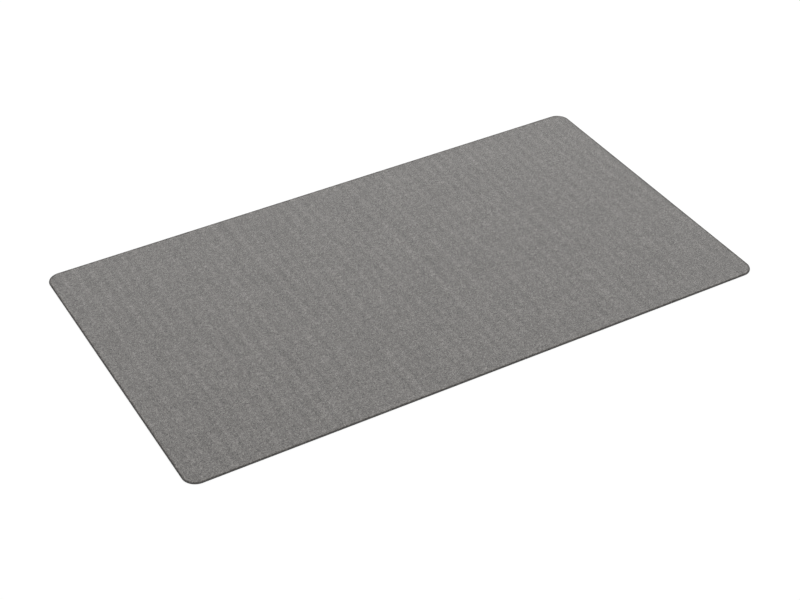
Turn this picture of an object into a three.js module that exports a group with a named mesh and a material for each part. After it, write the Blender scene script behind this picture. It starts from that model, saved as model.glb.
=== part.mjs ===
// A flat laminated desk mat: melange felt bonded by a hot-melt film to a dark non-slip rubber base.
// Millimetres, +Z up. The origin is the middle of the underside, +X runs along the long side.

import * as THREE from "three";

// Outline of the whole mat, which is the rubber base's outline.
const MAT_LENGTH = 900;
const MAT_WIDTH = 500;
const CORNER_RADIUS = 20;

// Each quarter-circle corner is cut into this many straight steps.
const CORNER_STEPS = 24;

// Thickness of each layer, from the desk upwards. They add up to 2 mm.
const BASE_THICKNESS = 1.25;
const FILM_THICKNESS = 0.125;
const FELT_THICKNESS = 0.625;

// How far the felt's cut edge, with the film under it, stands back from the base's edge.
// The felt draws in after cutting, so the base shows past it as a thin dark lip.
const FELT_SETBACK = 0.25;

// A rounded rectangle around the origin, smaller than the mat by the setback on every side.
function matOutline(setback) {
  const halfLength = MAT_LENGTH / 2 - setback;
  const halfWidth = MAT_WIDTH / 2 - setback;
  const radius = CORNER_RADIUS - setback;
  const arcX = halfLength - radius;
  const arcY = halfWidth - radius;
  const quarterTurn = Math.PI / 2;
  const cornerCentres = [[arcX, arcY], [-arcX, arcY], [-arcX, -arcY], [arcX, -arcY]];

  const outline = new THREE.Shape();
  cornerCentres.forEach(([x, y], corner) => {
    const startAngle = corner * quarterTurn;
    outline.absarc(x, y, radius, startAngle, startAngle + quarterTurn, false);
  });
  return outline;
}

// One layer of the laminate: the outline extruded upwards from the height of its underside.
function makeLayer({ name, setback, underside, thickness, color, roughness }) {
  const geometry = new THREE.ExtrudeGeometry(matOutline(setback), {
    depth: thickness,
    bevelEnabled: false,
    curveSegments: CORNER_STEPS / 2, // three.js doubles this number on an arc
  });
  const material = new THREE.MeshStandardMaterial({ color, roughness, metalness: 0 });
  const layer = new THREE.Mesh(geometry, material);
  layer.name = name;
  layer.position.z = underside;
  return layer;
}

const deskMat = new THREE.Group();

// Foamed rubber sheet, smooth on top and with a fine grip below, that lies on the desk.
deskMat.add(makeLayer({
  name: "nonslip_base",
  setback: 0,
  underside: 0,
  thickness: BASE_THICKNESS,
  color: 0x2b2b2c,
  roughness: 0.85,
}));

// Hot-melt film that bonds the felt to the base.
deskMat.add(makeLayer({
  name: "bonding_film",
  setback: FELT_SETBACK,
  underside: BASE_THICKNESS,
  thickness: FILM_THICKNESS,
  color: 0x76736f,
  roughness: 0.5,
}));

// Grey melange felt that is the working surface.
deskMat.add(makeLayer({
  name: "felt_surface",
  setback: FELT_SETBACK,
  underside: BASE_THICKNESS + FILM_THICKNESS,
  thickness: FELT_THICKNESS,
  color: 0x838180,
  roughness: 0.95,
}));

export default deskMat;
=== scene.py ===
"""A desk mat of melange felt on a thin non-slip rubber base, lying flat on a white studio floor."""

import math

import bmesh
import bpy
import numpy as np
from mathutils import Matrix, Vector, noise


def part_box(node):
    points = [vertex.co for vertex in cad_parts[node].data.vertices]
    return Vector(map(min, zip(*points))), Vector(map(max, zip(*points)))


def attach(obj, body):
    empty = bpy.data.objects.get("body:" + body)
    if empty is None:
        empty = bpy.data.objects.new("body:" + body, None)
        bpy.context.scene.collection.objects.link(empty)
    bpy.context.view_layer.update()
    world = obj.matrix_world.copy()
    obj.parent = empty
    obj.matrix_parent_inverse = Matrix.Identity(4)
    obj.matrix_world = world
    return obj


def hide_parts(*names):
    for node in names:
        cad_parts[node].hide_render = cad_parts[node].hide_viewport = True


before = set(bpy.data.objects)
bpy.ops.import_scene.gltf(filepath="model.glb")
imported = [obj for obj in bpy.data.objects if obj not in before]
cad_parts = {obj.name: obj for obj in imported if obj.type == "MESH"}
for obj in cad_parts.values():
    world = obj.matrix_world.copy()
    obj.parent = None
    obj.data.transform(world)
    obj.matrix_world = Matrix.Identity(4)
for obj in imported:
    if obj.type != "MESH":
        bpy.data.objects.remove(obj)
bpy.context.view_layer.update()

MM = 0.001

# The frame's own sizes, in metres.
base_low, base_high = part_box("nonslip_base")
felt_low, felt_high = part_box("felt_surface")

# The base's corner arcs have the same centres as the felt's, and the felt reaches less far from them.
CORNER_RADIUS = 20 * MM
ARC_X = base_high.x - CORNER_RADIUS
ARC_Y = base_high.y - CORNER_RADIUS
FELT_REACH = felt_high.x - ARC_X
CORNER_STEPS = 24
GRID_STEP = 2.5 * MM
FLAT_RINGS = 8
MERGE_DISTANCE = 0.001 * MM
SHARP_ANGLE = math.radians(50)

# The felt: beaded streaks from carding and needling, and a border that the hot cutting die presses down,
# painted darker along the edge as painted shade.
STREAK_SPACING = 18.75 * MM
BEAD_SPACING = 9.4 * MM
LUMP_SIZES = (9 * MM, 5.5 * MM)
LUMP_HEIGHT = 0.03 * MM
STREAK_HEIGHT = 0.012 * MM
PRESSED_BORDER = 2.9 * MM
PRESSED_RINGS = (0.85, 0.75, 0.65, 0.55, 0.4, 0.25, 0.12)
PRESSED_DEPTH = 0.08 * MM
FELT_LIP_RADIUS = 0.14 * MM
FELT_HEEL_RADIUS = 0.04 * MM

# The felt's colour as (place, grey level, warmth), from its darkest fibres to its lightest.
FELT_COLOURS = [(0, 0.051, 0.047), (0.5, 0.137, 0.047), (1, 0.265, 0.047)]

# The rubber's wavy grip on the underside, and its edge radii.
GRIP_SPACING = 10 * MM
GRIP_BEND_SPACING = 25 * MM
GRIP_DEPTH = 0.16 * MM
GRIP_FADES_FROM = CORNER_RADIUS - 2.5 * MM
GRIP_ENDS_AT = CORNER_RADIUS - 1.2 * MM
BASE_BOTTOM_RADIUS = 0.15 * MM
BASE_TOP_RADIUS = 0.2 * MM
BURST_CELL_SIZE = 0.42 * MM

# The camera stands left of the middle, in front of one long side, and looks down across the mat.
CAMERA_AZIMUTH = -29.99
CAMERA_ELEVATION = 37.84
CAMERA_DISTANCE = 2.3944
CAMERA_LENS_MM = 75.82
CAMERA_AIM = Vector((-0.0314, -0.0508, 0.0))

# A white lit table, a white surround, and a soft lamp behind the far right corner.
FLOOR_SIZE = 60.0
FLOOR_COLOUR = (0.15, 0.15, 0.15, 1)
FLOOR_GLOW = 0.85
SOFTBOX_PLACE = Vector((0.7, 1.3, 1.7))
SOFTBOX_SIZE = 1.6
SOFTBOX_WATTS = 10.0


# Meshes


def border_points():
    """Places round the mat: anchors on the rectangle of the arcs' centres, and each one's way outwards."""
    columns = round(2 * ARC_X / GRID_STEP)
    rows = round(2 * ARC_Y / GRID_STEP)
    corners = np.array([(-ARC_X, -ARC_Y), (ARC_X, -ARC_Y), (ARC_X, ARC_Y), (-ARC_X, ARC_Y)])
    anchors = []
    angles = []
    for side, steps in enumerate((columns, rows, columns, rows)):
        start = corners[side]
        end = corners[(side + 1) % 4]
        outwards = math.pi / 2 * (side - 1)
        for share in np.linspace(0, 1, steps + 1):
            anchors.append(start + (end - start) * share)
            angles.append(outwards)
        for turn in np.linspace(0, math.pi / 2, CORNER_STEPS + 1)[1:-1]:
            anchors.append(end)
            angles.append(outwards + turn)
    return np.array(anchors), np.column_stack((np.cos(angles), np.sin(angles)))


def layer_object(name, profile, relief):
    """A closed sheet with the mat's outline.

    profile runs from the arcs' centres over the detailed face to the edge and back under the plain face.
    Each of its points is (reach from the arcs' centres, height, share of the relief).
    relief(x, y) is how far the detailed face stands out from its plane at that place.
    """
    columns = round(2 * ARC_X / GRID_STEP)
    rows = round(2 * ARC_Y / GRID_STEP)
    face_height = profile[0][1]
    points = [
        (x, y, face_height + relief(x, y))
        for y in np.linspace(-ARC_Y, ARC_Y, rows + 1)
        for x in np.linspace(-ARC_X, ARC_X, columns + 1)
    ]
    faces = []
    for row in range(rows):
        for column in range(columns):
            corner = row * (columns + 1) + column
            faces.append((corner, corner + 1, corner + columns + 2, corner + columns + 1))

    anchors, outwards = border_points()
    count = len(anchors)
    first = len(points)
    for reach, height, share in profile:
        for x, y in anchors + outwards * reach:
            points.append((x, y, height + share * relief(x, y)))
    for ring in range(len(profile) - 1):
        inner = first + ring * count
        outer = inner + count
        for i in range(count):
            following = (i + 1) % count
            faces.append((inner + i, outer + i, outer + following, inner + following))
    last = first + (len(profile) - 1) * count
    faces.append(tuple(range(last, last + count)))

    mesh = bpy.data.meshes.new(name)
    mesh.from_pydata(points, [], faces)
    build = bmesh.new()
    build.from_mesh(mesh)
    bmesh.ops.remove_doubles(build, verts=build.verts, dist=MERGE_DISTANCE)
    bmesh.ops.recalc_face_normals(build, faces=build.faces)
    build.to_mesh(mesh)
    build.free()
    mesh.shade_smooth()
    mesh.set_sharp_from_angle(angle=SHARP_ANGLE)
    piece = bpy.data.objects.new(name, mesh)
    bpy.context.scene.collection.objects.link(piece)
    return piece


def rounded_edge(reach, face, back, face_radius, back_radius, steps=4):
    """The profile's edge: over a quarter circle, down the wall, and round a smaller quarter circle."""
    side = math.copysign(1, face - back)
    turns = np.linspace(0, math.pi / 2, steps + 1)
    over = [
        (reach - face_radius * (1 - math.sin(t)), face - side * face_radius * (1 - math.cos(t)), 0)
        for t in turns
    ]
    under = [
        (reach - back_radius * (1 - math.cos(t)), back + side * back_radius * (1 - math.sin(t)), 0)
        for t in turns
    ]
    return over + under


def store(mesh, name, measure):
    """Keeps measure(x, y) at every vertex, for the material to read."""
    values = [measure(v.co.x, v.co.y) for v in mesh.vertices]
    mesh.attributes.new(name, "FLOAT", "POINT").data.foreach_set("value", values)


def carding_streak(x, y):
    """The felt's streaks along the short side, mostly from -1.5 to 2.5: high where the web is fuller.

    Each streak wobbles a little and swells into beads, a needle row apart.
    """
    wobble = 2.5 * MM * noise.noise(Vector((x / (45 * MM), y / (16 * MM), 13)))
    across = x + wobble
    drift = noise.noise(Vector((x / (60 * MM), y / (400 * MM), 3)))
    swell = 0.8 + 0.8 * noise.noise(Vector((x / (26 * MM), y / (500 * MM), 9)))
    wave = math.sin(math.tau * (across / STREAK_SPACING + 0.6 * drift))
    wander = noise.noise(Vector((across / (15 * MM), y / (120 * MM), 11)))
    thread = noise.noise(Vector((across / (5 * MM), y / (45 * MM), 5)))
    row = noise.noise(Vector((x / (350 * MM), y / (5.5 * MM), 7)))
    slip = noise.noise(Vector((x / (11 * MM), y / (60 * MM), 17)))
    bead = math.sin(math.tau * (y / BEAD_SPACING + 0.6 * slip))
    strength = 0.8 + 0.75 * bead + 0.4 * noise.noise(Vector((x / (16 * MM), y / (24 * MM), 15)))
    streak = strength * (swell * wave + 0.9 * wander + 1.0 * thread) + 0.85 * row
    return streak + 0.12 * streak**2


def edge_shade_mask(x, y):
    """How near a place is to the felt's cut edge: 0 outside the pressed border, 1 at the edge. It masks the
    painted edge shade.
    """
    reach = math.hypot(max(abs(x) - ARC_X, 0), max(abs(y) - ARC_Y, 0))
    return min(max(1 - (FELT_REACH - reach) / PRESSED_BORDER, 0), 1)


def felt_relief(x, y):
    """How far the felt's face stands out: soft lumps of two sizes and the streaks."""
    lump = noise.noise(Vector((x, y, 0)) / LUMP_SIZES[0])
    small_lump = noise.noise(Vector((x, y, 0.1)) / LUMP_SIZES[1])
    return LUMP_HEIGHT * (lump + small_lump) + STREAK_HEIGHT * carding_streak(x, y)


def make_felt():
    flat = [(r, felt_high.z, 1) for r in np.linspace(0, FELT_REACH - PRESSED_BORDER, FLAT_RINGS)]
    pressed = [
        (FELT_REACH - share * PRESSED_BORDER, felt_high.z - PRESSED_DEPTH * (1 - share) ** 2, share)
        for share in PRESSED_RINGS
    ]
    lip = rounded_edge(
        FELT_REACH, felt_high.z - PRESSED_DEPTH, felt_low.z, FELT_LIP_RADIUS, FELT_HEEL_RADIUS
    )
    piece = layer_object("melange_felt_sheet", flat + pressed + lip, felt_relief)
    store(piece.data, "carding_streak", carding_streak)
    store(piece.data, "edge_shade_mask", edge_shade_mask)
    piece.data.materials.append(felt_material())
    piece.data.materials.append(edge_shaded_felt_material())
    # The border and the cut side take the second material, which carries the painted edge shade.
    for face in piece.data.polygons:
        on_border = edge_shade_mask(face.center.x, face.center.y) > 0
        if on_border or face.normal.z < 0.5:
            face.material_index = 1
    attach(piece, "root")
    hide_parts("felt_surface")


def grip_relief(x, y):
    """How deep the underside's wavy grooves are, from 0 to GRIP_DEPTH."""
    bend = 0.9 * math.sin(math.tau * y / GRIP_BEND_SPACING)
    return GRIP_DEPTH * (0.5 - 0.5 * math.sin(math.tau * x / GRIP_SPACING + bend))


def make_base():
    flat = [(r, base_low.z, 1) for r in np.linspace(0, GRIP_FADES_FROM, FLAT_RINGS)]
    flat.append((GRIP_ENDS_AT, base_low.z, 0))
    edge = rounded_edge(CORNER_RADIUS, base_low.z, base_high.z, BASE_BOTTOM_RADIUS, BASE_TOP_RADIUS)
    piece = layer_object("rubber_base_sheet", flat + edge, grip_relief)
    piece.data.materials.append(rubber_material())
    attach(piece, "root")
    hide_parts("nonslip_base")


# Materials


def add_node(tree, kind, inputs=None, **settings):
    """One shader node. inputs gives each socket a value or another node's output."""
    node = tree.nodes.new(kind)
    for name, value in settings.items():
        setattr(node, name, value)
    for name, value in (inputs or {}).items():
        if isinstance(value, bpy.types.NodeSocket):
            tree.links.new(value, node.inputs[name])
        else:
            node.inputs[name].default_value = value
    return node


def new_material(name):
    """A material with one Principled shader, its node tree and that shader."""
    material = bpy.data.materials.new(name)
    material.use_nodes = True
    tree = material.node_tree
    tree.nodes.clear()
    shader = add_node(tree, "ShaderNodeBsdfPrincipled")
    output = add_node(tree, "ShaderNodeOutputMaterial")
    tree.links.new(shader.outputs["BSDF"], output.inputs["Surface"])
    return material, tree, shader


def grain(tree, place, width, length, turn=0, shift=0, detail=1, roughness=0.5):
    """Soft noise around 0.5 of that width and length, turned by that many degrees from the Y direction."""
    mapping = add_node(
        tree,
        "ShaderNodeMapping",
        {
            "Vector": place,
            "Location": (shift, shift, shift),
            "Rotation": (0, 0, math.radians(turn)),
            "Scale": (width, length, width),
        },
        vector_type="TEXTURE",
    )
    texture = add_node(
        tree,
        "ShaderNodeTexNoise",
        {"Vector": mapping.outputs["Vector"], "Scale": 1, "Detail": detail, "Roughness": roughness},
    )
    return texture.outputs[0]


def multiply_add(tree, socket, factor, added):
    """socket times factor, plus added."""
    inputs = {0: socket, 1: factor, 2: added}
    return add_node(tree, "ShaderNodeMath", inputs, operation="MULTIPLY_ADD").outputs[0]


def sum_of(tree, start, terms):
    """start plus each term's (socket - 0.5) times its strength."""
    total = start
    for socket, strength in terms:
        centred = add_node(tree, "ShaderNodeMath", {0: socket, 1: 0.5}, operation="SUBTRACT")
        total = multiply_add(tree, centred.outputs[0], strength, total)
    return total


def remap(tree, socket, source, target, **settings):
    """socket moved from the source range to the target range, and held there beyond its ends."""
    inputs = {
        "Value": socket,
        "From Min": source[0],
        "From Max": source[1],
        "To Min": target[0],
        "To Max": target[1],
    }
    return add_node(tree, "ShaderNodeMapRange", inputs, **settings).outputs[0]


def above(tree, socket, low, high):
    """0 below low, 1 above high, and smooth between."""
    return remap(tree, socket, (low, high), (0, 1), interpolation_type="SMOOTHSTEP")


def colour_ramp(tree, socket, stops):
    """A colour ramp from (place, grey level, warmth) stops."""
    ramp = add_node(tree, "ShaderNodeValToRGB", {"Fac": socket})
    elements = ramp.color_ramp.elements
    while len(elements) < len(stops):
        elements.new(0.5)
    for element, (place, level, warmth) in zip(elements, stops):
        element.position = place
        element.color = (level * (1 + warmth), level, level * (1 - warmth), 1)
    return ramp.outputs["Color"]


def stored(tree, name):
    """A number kept at the mesh's vertices."""
    return add_node(tree, "ShaderNodeAttribute", attribute_name=name).outputs["Fac"]


def vector_math(tree, operation, inputs):
    return add_node(tree, "ShaderNodeVectorMath", inputs, operation=operation).outputs[0]


def curled(tree, place):
    """The same place pushed about a little, so that straight grain curls."""
    curl_size = 3.5 * MM
    inputs = {"Vector": place, "Scale": 1 / curl_size, "Detail": 1}
    drift = add_node(tree, "ShaderNodeTexNoise", inputs).outputs["Color"]
    centred = vector_math(tree, "SUBTRACT", {0: drift, 1: (0.5, 0.5, 0.5)})
    push = vector_math(tree, "SCALE", {0: centred, "Scale": curl_size})
    return vector_math(tree, "ADD", {0: place, 1: push})


def fibre_mat(tree, curl):
    """Single fibres lying loosely in all directions: 0 between them, and over 1 where they cross."""
    total = 0
    for step, turn in enumerate((-75, -48, -22, 5, 38, 66)):
        lay = grain(tree, curl, 0.14 * MM, 4.5 * MM, turn=turn, shift=20 + step, detail=0)
        total = multiply_add(tree, above(tree, lay, 0.58, 0.7), 1, total)
    return total


def melange(tree, place, curl, fibres):
    """The felt's tone around 0.5: blotches, wisps, single fibres, streaks, light bundles and dark specks."""
    parts = [
        (grain(tree, place, 1.6 * MM, 2.2 * MM, turn=-22, shift=3, detail=3), 1.42),
        (grain(tree, place, 4 * MM, 5 * MM, turn=-22, shift=4), 0.45),
    ]
    for step, turn in enumerate((-58, -22, 14, 50)):
        parts.append((grain(tree, curl, 0.65 * MM, 3.4 * MM, turn=turn, shift=30 + step), 0.9))
    tone = sum_of(tree, 0.32, parts)
    tone = multiply_add(tree, fibres, 0.16, tone)
    tone = multiply_add(tree, stored(tree, "carding_streak"), 0.073, tone)
    bundle = grain(tree, curl, 1.4 * MM, 9 * MM, turn=-22, shift=6, detail=2)
    tone = multiply_add(tree, above(tree, bundle, 0.63, 0.76), 0.4, tone)
    speck = grain(tree, curl, 1.5 * MM, 2.4 * MM, turn=30, shift=7, detail=2)
    return multiply_add(tree, above(tree, speck, 0.65, 0.78), -0.45, tone)


def add_bump(tree, shader, height, strength, depth):
    inputs = {"Height": height, "Strength": strength, "Distance": depth}
    bump = add_node(tree, "ShaderNodeBump", inputs)
    tree.links.new(bump.outputs["Normal"], shader.inputs["Normal"])


def new_felt_material(name, fibre_depth, roughness, specular, sheen):
    """A felt material without its base colour, with its tree, its shader and the fibres' colour."""
    material, tree, shader = new_material(name)
    place = add_node(tree, "ShaderNodeTexCoord").outputs["Object"]
    curl = curled(tree, place)
    fibres = fibre_mat(tree, curl)
    tone = melange(tree, place, curl, fibres)
    colour = colour_ramp(tree, tone, FELT_COLOURS)
    lumps = grain(tree, place, 1.2 * MM, 1.6 * MM, shift=10)
    height = multiply_add(tree, fibres, 0.5, sum_of(tree, 0, [(lumps, 2.0)]))
    add_bump(tree, shader, height, 0.6, fibre_depth)
    tree.links.new(remap(tree, tone, (0, 1), roughness), shader.inputs["Roughness"])
    shader.inputs["Specular IOR Level"].default_value = specular
    shader.inputs["Sheen Weight"].default_value = sheen
    shader.inputs["Sheen Roughness"].default_value = 0.5
    return material, tree, shader, colour


def felt_material():
    """The felt's open face: loose fibres with a soft sheen."""
    material, tree, shader, colour = new_felt_material(
        "melange_felt", fibre_depth=0.12 * MM, roughness=(0.98, 0.85), specular=0.25, sheen=0.55
    )
    tree.links.new(colour, shader.inputs["Base Color"])
    return material


def edge_shaded_felt_material():
    """The felt's border: the hot die has laid the fibres flat, which takes most of the sheen.

    The outer half of the border is painted darker, as painted shade along the mat's edge, and the cut side
    is painted lighter again, against the shade that falls on it.
    """
    material, tree, shader, colour = new_felt_material(
        "edge_shaded_felt", fibre_depth=0.04 * MM, roughness=(0.9, 0.75), specular=0.1, sheen=0.06
    )
    nearness_to_edge = stored(tree, "edge_shade_mask")
    # Painted shade: the outer half of the border is made darker, standing in for the shade along the mat's
    # edge.
    painted_border_shade = remap(tree, nearness_to_edge, (0.44, 0.54), (1.2, 0.42), interpolation_type="SMOOTHSTEP")
    # Painted light: the cut side is made lighter, offsetting the shade that falls on it.
    painted_side_lightening = remap(tree, nearness_to_edge, (0.98, 1), (1, 1.65))
    darkening = add_node(tree, "ShaderNodeMath", {0: painted_border_shade, 1: painted_side_lightening}, operation="MULTIPLY")
    darkened = vector_math(tree, "SCALE", {0: colour, "Scale": darkening.outputs[0]})
    tree.links.new(darkened, shader.inputs["Base Color"])
    return material


def rubber_material():
    """Foamed rubber: fine skin, small burst cells with painted shade in their pits, and a little lint."""
    material, tree, shader = new_material("base_rubber")
    place = add_node(tree, "ShaderNodeTexCoord").outputs["Object"]
    skin = grain(tree, place, 0.12 * MM, 0.12 * MM, detail=2)
    lint = grain(tree, place, 5 * MM, 7 * MM, shift=1, detail=4, roughness=0.6)
    cells = add_node(tree, "ShaderNodeTexVoronoi", {"Vector": place, "Scale": 1 / BURST_CELL_SIZE})
    wall = above(tree, cells.outputs["Distance"], 0.1, 0.32)

    # The cells' pits are painted darker than their walls: painted shade in the hollows.
    tone = multiply_add(tree, wall, 0.2, sum_of(tree, 0.36, [(skin, 0.5), (lint, 0.9)]))
    colour = colour_ramp(tree, tone, [(0, 0.009, 0.0), (0.5, 0.021, 0.0), (1, 0.05, 0.01)])
    tree.links.new(colour, shader.inputs["Base Color"])
    tree.links.new(remap(tree, tone, (0, 1), (0.66, 0.92)), shader.inputs["Roughness"])
    height = multiply_add(tree, wall, 0.7, multiply_add(tree, skin, 0.4, 0))
    add_bump(tree, shader, height, 0.7, 0.08 * MM)
    shader.inputs["Specular IOR Level"].default_value = 0.4
    return material


def film_material():
    """Hot-melt film: a web of thick and thin places."""
    material, tree, shader = new_material("hot_melt_film")
    place = add_node(tree, "ShaderNodeTexCoord").outputs["Object"]
    web = grain(tree, place, 0.6 * MM, 1.5 * MM, turn=35, detail=2)
    colour = colour_ramp(tree, web, [(0, 0.13, 0.06), (0.5, 0.18, 0.06), (1, 0.24, 0.05)])
    tree.links.new(colour, shader.inputs["Base Color"])
    tree.links.new(remap(tree, web, (0, 1), (0.4, 0.6)), shader.inputs["Roughness"])
    add_bump(tree, shader, web, 0.4, 0.02 * MM)
    return material


def dress_film():
    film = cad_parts["bonding_film"]
    film.data.materials.clear()
    film.data.materials.append(film_material())


# Studio


def make_floor():
    mesh = bpy.data.meshes.new("studio_floor")
    half = FLOOR_SIZE / 2
    corners = [(-half, -half, 0), (half, -half, 0), (half, half, 0), (-half, half, 0)]
    mesh.from_pydata(corners, [], [(0, 1, 2, 3)])
    floor = bpy.data.objects.new("studio_floor", mesh)
    bpy.context.scene.collection.objects.link(floor)
    material, tree, shader = new_material("studio_floor")
    shader.inputs["Base Color"].default_value = FLOOR_COLOUR
    shader.inputs["Roughness"].default_value = 1
    shader.inputs["Specular IOR Level"].default_value = 0
    shader.inputs["Emission Color"].default_value = (1, 1, 1, 1)
    shader.inputs["Emission Strength"].default_value = FLOOR_GLOW
    mesh.materials.append(material)


def make_light():
    world = bpy.data.worlds.new("studio_light")
    world.use_nodes = True
    background = world.node_tree.nodes["Background"]
    background.inputs["Color"].default_value = (1, 1, 1, 1)
    background.inputs["Strength"].default_value = 1.0
    bpy.context.scene.world = world

    lamp = bpy.data.lights.new("softbox", "AREA")
    lamp.size = SOFTBOX_SIZE
    lamp.energy = SOFTBOX_WATTS
    softbox = bpy.data.objects.new("softbox", lamp)
    softbox.location = SOFTBOX_PLACE
    softbox.rotation_mode = "QUATERNION"
    softbox.rotation_quaternion = SOFTBOX_PLACE.to_track_quat("Z", "Y")
    bpy.context.scene.collection.objects.link(softbox)
    bpy.context.scene.view_settings.view_transform = "Standard"


def make_camera():
    azimuth = math.radians(CAMERA_AZIMUTH)
    elevation = math.radians(CAMERA_ELEVATION)
    level = math.cos(elevation)
    back = Vector((math.sin(azimuth) * level, -math.cos(azimuth) * level, math.sin(elevation)))
    data = bpy.data.cameras.new("camera")
    data.sensor_width = 36
    data.lens = CAMERA_LENS_MM
    camera = bpy.data.objects.new("camera", data)
    camera.location = CAMERA_AIM + back * CAMERA_DISTANCE
    camera.rotation_mode = "QUATERNION"
    camera.rotation_quaternion = (-back).to_track_quat("-Z", "Y")
    bpy.context.scene.collection.objects.link(camera)
    bpy.context.scene.camera = camera


make_camera()
make_light()
make_floor()
make_base()
dress_film()
make_felt()
